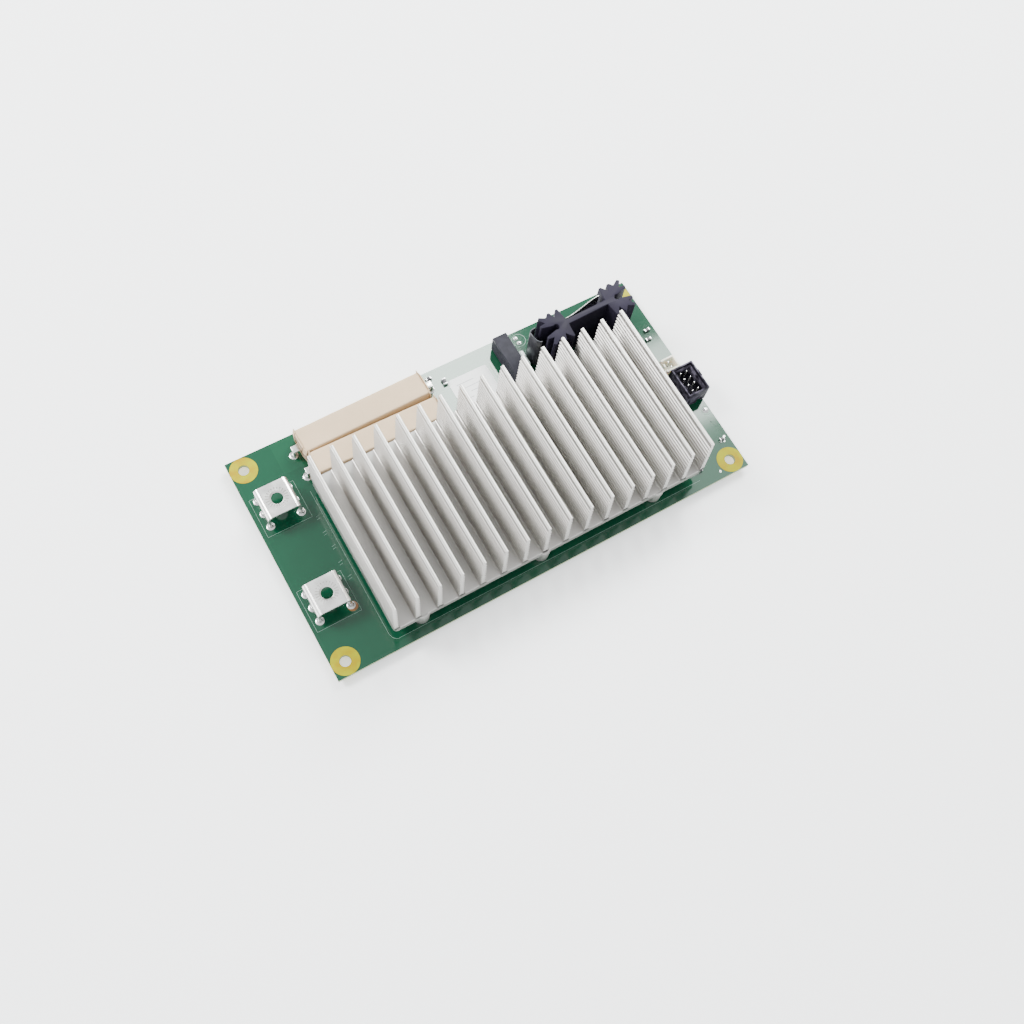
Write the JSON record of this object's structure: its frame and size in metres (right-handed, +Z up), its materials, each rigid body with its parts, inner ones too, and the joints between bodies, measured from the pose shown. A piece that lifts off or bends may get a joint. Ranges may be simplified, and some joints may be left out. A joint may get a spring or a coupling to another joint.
{
  "type": "heat-sinked power control board",
  "caption": "Green circuit board with a finned aluminium heat sink, ceramic power resistors, sheet-metal screw terminals and a box header.",
  "frame": {"origin": "on the surface that the board stands on, under the middle of the whole assembly's box", "axes": "+X along the board's length, from the screw terminals to the box header; +Y across the board, from the heat sink's side to the ceramic resistors; +Z up"},
  "size_m": [0.1912, 0.1, 0.0347],
  "materials": {
    "board_green": "glossy green solder mask over glass-epoxy sheet",
    "aluminium": "mill finish with fine lengthwise ridges",
    "black_anodised": "black anodised, slightly purple, satin",
    "ceramic": "rough cream ceramic",
    "tinned_steel": "bright tin plate",
    "spring_steel": "dark bright spring steel",
    "zinc_steel": "zinc plated",
    "black_plastic": "black moulded, fine texture",
    "grey_epoxy": "slate grey, satin",
    "ivory_plastic": "cream moulded nylon",
    "pale_film": "pale, slightly glossy",
    "thermal_grey": "grey silicone pad",
    "label_white": "white paper label, blank"
  },
  "bodies": {
    "root": {"board_label": "label_white", "chip_part_1": "grey_epoxy", "chip_part_2": "grey_epoxy", "chip_part_3": "grey_epoxy", "chip_part_4": "grey_epoxy", "chip_part_5": "grey_epoxy", "chip_part_6": "grey_epoxy", "circuit_board": "board_green", "converter_module": "grey_epoxy", "film_capacitor": "pale_film", "header_pin_1": "tinned_steel", "header_pin_2": "tinned_steel", "header_pin_3": "tinned_steel", "header_pin_4": "tinned_steel", "header_pin_5": "tinned_steel", "header_pin_6": "tinned_steel", "header_pin_7": "tinned_steel", "header_pin_8": "tinned_steel", "header_shell": "black_plastic", "heatsink": "aluminium", "heatsink_screw_1": "zinc_steel", "heatsink_screw_2": "zinc_steel", "heatsink_screw_3": "zinc_steel", "heatsink_screw_4": "zinc_steel", "heatsink_screw_5": "zinc_steel", "heatsink_screw_6": "zinc_steel", "hook_spring": "spring_steel", "leaf_spring": "spring_steel", "power_resistor_front": "ceramic", "power_resistor_rear": "ceramic", "power_transistor_1": "black_plastic", "power_transistor_2": "black_plastic", "power_transistor_3": "black_plastic", "power_transistor_4": "black_plastic", "power_transistor_5": "black_plastic", "power_transistor_6": "black_plastic", "regulator": "black_plastic", "resistor_strap_front_left": "tinned_steel", "resistor_strap_front_right": "tinned_steel", "resistor_strap_rear_left": "tinned_steel", "resistor_strap_rear_right": "tinned_steel", "screw_terminal_1": "tinned_steel", "screw_terminal_2": "tinned_steel", "star_heatsink": "black_anodised", "star_heatsink_pin_1": "tinned_steel", "star_heatsink_pin_2": "tinned_steel", "thermal_pad": "thermal_grey", "wafer_housing": "ivory_plastic", "wafer_pin_1": "tinned_steel", "wafer_pin_2": "tinned_steel"}
  },
  "joints": []
}
